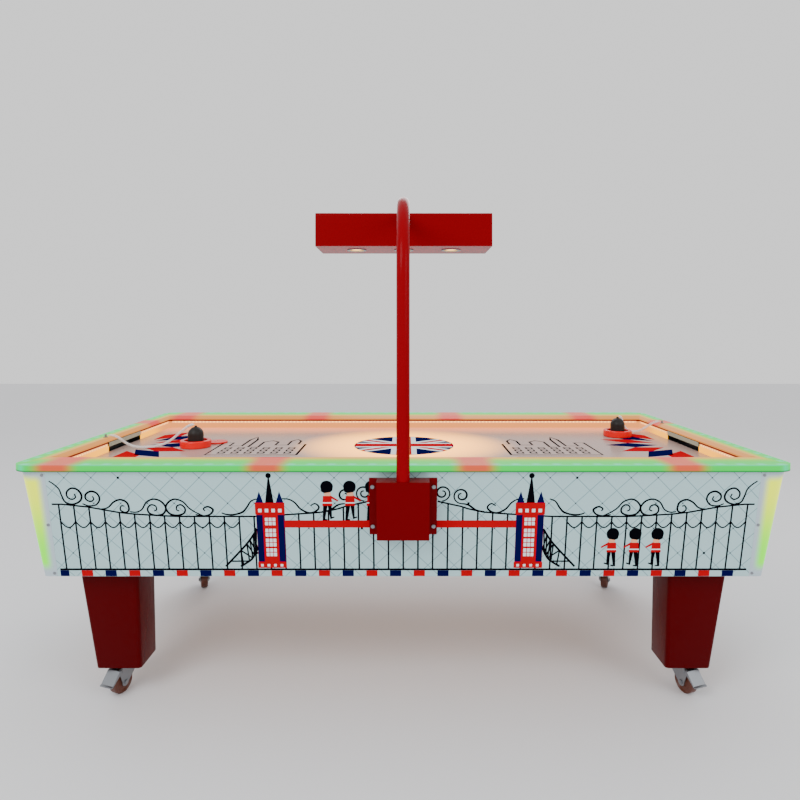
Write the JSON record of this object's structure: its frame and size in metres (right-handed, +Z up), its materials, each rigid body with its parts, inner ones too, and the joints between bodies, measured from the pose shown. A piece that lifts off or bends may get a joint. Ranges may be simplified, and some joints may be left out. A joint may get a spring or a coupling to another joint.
{
  "type": "air hockey table",
  "caption": "Castered arcade air hockey table with a lit rim, printed panels, tethered mallets, a puck, and a bent side mast carrying a lamp and score hood.",
  "frame": {"origin": "on the floor, at the middle of the overall footprint", "axes": "+X along the table, to a player's right when facing the mast side from outside; +Y across the table, away from the mast side; +Z up"},
  "size_m": [2.4, 1.288, 1.666],
  "materials": {
    "field_laminate": "gloss",
    "plywood": "satin",
    "printed_panel": "satin printed film",
    "lit_lens": "gloss, lit from behind",
    "lit_rim": "gloss, lit from below",
    "lit_cushion": "satin, lit",
    "led_tape": "lit dots",
    "red_paint": "gloss",
    "zinc_steel": "satin",
    "black_plastic": "satin",
    "grey_paint": "satin",
    "motor_paint": "satin",
    "fan_metal": "satin",
    "lamp_lens": "frosted, lit",
    "window": "gloss",
    "wheel_nylon": "satin",
    "red_plastic": "gloss",
    "knob_plastic": "satin",
    "cord_plastic": "gloss"
  },
  "bodies": {
    "cabinet": {"playfield": "field_laminate", "plenum_tray": "plywood", "cabinet_frame": "plywood", "deck_boards": "plywood", "base_board": "plywood", "front_panel": "printed_panel", "back_panel": "printed_panel", "left_end_panel": "printed_panel", "right_end_panel": "printed_panel", "corner_lens_fl": "lit_lens", "corner_lens_fr": "lit_lens", "corner_lens_bl": "lit_lens", "corner_lens_br": "lit_lens", "lens_screws": "zinc_steel", "rim_front": "lit_rim", "rim_back": "lit_rim", "rim_left": "lit_rim", "rim_right": "lit_rim", "side_cushions": "lit_cushion", "end_cushions": "lit_cushion", "led_strips": "led_tape", "goal_chute_left": "black_plastic", "goal_chute_right": "black_plastic", "power_inlet": "black_plastic", "mast": "red_paint", "mast_bracket": "red_paint", "mast_screws": "zinc_steel", "hood_shell": "red_paint", "hood_underside": "red_paint", "lamp_bezels": "zinc_steel", "lamp_lenses": "lamp_lens", "score_windows": "window", "leg_fl": "red_paint", "leg_fr": "red_paint", "leg_bl": "red_paint", "leg_br": "red_paint", "caster_plates": "zinc_steel", "blower_housing": "grey_paint", "blower_motor": "motor_paint", "tether_anchors": "zinc_steel"},
    "fan": {"impeller": "fan_metal"},
    "puck_body": {"puck": "red_plastic"},
    "mallet_left": {"mallet_base_left": "red_plastic", "mallet_knob_left": "knob_plastic", "tether_left": "cord_plastic"},
    "mallet_right": {"mallet_base_right": "red_plastic", "mallet_knob_right": "knob_plastic", "tether_right": "cord_plastic"},
    "caster_fl": {"caster_fork_fl": "zinc_steel"},
    "wheel_fl": {"caster_wheel_fl": "wheel_nylon"},
    "brake_fl": {"caster_brake_fl": "zinc_steel"},
    "caster_fr": {"caster_fork_fr": "zinc_steel"},
    "wheel_fr": {"caster_wheel_fr": "wheel_nylon"},
    "brake_fr": {"caster_brake_fr": "zinc_steel"},
    "caster_bl": {"caster_fork_bl": "zinc_steel"},
    "wheel_bl": {"caster_wheel_bl": "wheel_nylon"},
    "brake_bl": {"caster_brake_bl": "zinc_steel"},
    "caster_br": {"caster_fork_br": "zinc_steel"},
    "wheel_br": {"caster_wheel_br": "wheel_nylon"},
    "brake_br": {"caster_brake_br": "zinc_steel"}
  },
  "joints": [
    {"name": "swivel_fl", "type": "hinge", "parent": "cabinet", "child": "caster_fl", "pos_m": [-0.936, -0.371, 0.0865], "axis": [0, 0, 1], "continuous": true},
    {"name": "roll_fl", "type": "hinge", "parent": "caster_fl", "child": "wheel_fl", "pos_m": [-0.94558, -0.39731, 0.0375], "axis": [0.9397, -0.342, 0], "continuous": true},
    {"name": "brake_fl", "type": "hinge", "parent": "caster_fl", "child": "brake_fl", "pos_m": [-0.95173, -0.41423, 0.078], "axis": [0.9397, -0.342, 0], "range_deg": [0, 12]},
    {"name": "swivel_fr", "type": "hinge", "parent": "cabinet", "child": "caster_fr", "pos_m": [0.936, -0.371, 0.0865], "axis": [0, 0, 1], "continuous": true},
    {"name": "roll_fr", "type": "hinge", "parent": "caster_fr", "child": "wheel_fr", "pos_m": [0.94558, -0.39731, 0.0375], "axis": [0.9397, 0.342, 0], "continuous": true},
    {"name": "brake_fr", "type": "hinge", "parent": "caster_fr", "child": "brake_fr", "pos_m": [0.95173, -0.41423, 0.078], "axis": [0.9397, 0.342, 0], "range_deg": [0, 12]},
    {"name": "swivel_bl", "type": "hinge", "parent": "cabinet", "child": "caster_bl", "pos_m": [-0.936, 0.419, 0.0865], "axis": [0, 0, 1], "continuous": true},
    {"name": "roll_bl", "type": "hinge", "parent": "caster_bl", "child": "wheel_bl", "pos_m": [-0.94649, 0.44496, 0.0375], "axis": [-0.9272, -0.3746, 0], "continuous": true},
    {"name": "brake_bl", "type": "hinge", "parent": "caster_bl", "child": "brake_bl", "pos_m": [-0.95323, 0.46165, 0.078], "axis": [-0.9272, -0.3746, 0], "range_deg": [0, 12]},
    {"name": "swivel_br", "type": "hinge", "parent": "cabinet", "child": "caster_br", "pos_m": [0.936, 0.419, 0.0865], "axis": [0, 0, 1], "continuous": true},
    {"name": "roll_br", "type": "hinge", "parent": "caster_br", "child": "wheel_br", "pos_m": [0.94739, 0.44458, 0.0375], "axis": [-0.9135, 0.4067, 0], "continuous": true},
    {"name": "brake_br", "type": "hinge", "parent": "caster_br", "child": "brake_br", "pos_m": [0.95471, 0.46102, 0.078], "axis": [-0.9135, 0.4067, 0], "range_deg": [0, 12]},
    {"name": "fan_spin", "type": "hinge", "parent": "cabinet", "child": "fan", "pos_m": [0, 0.024, 0.556], "axis": [0, 1, 0], "continuous": true},
    {"name": "puck_glide", "type": "slide", "parent": "cabinet", "child": "puck_body", "axis": [0.9848, -0.1736, 0], "range_m": [-0.31, 1.87]},
    {"name": "mallet_left_stroke", "type": "slide", "parent": "cabinet", "child": "mallet_left", "axis": [0.9848, -0.1736, 0], "range_m": [-0.22, 0.74], "deforming": ["tether_left"]},
    {"name": "mallet_right_stroke", "type": "slide", "parent": "cabinet", "child": "mallet_right", "axis": [-1, 0, 0], "range_m": [-0.12, 0.86], "deforming": ["tether_right"]}
  ]
}
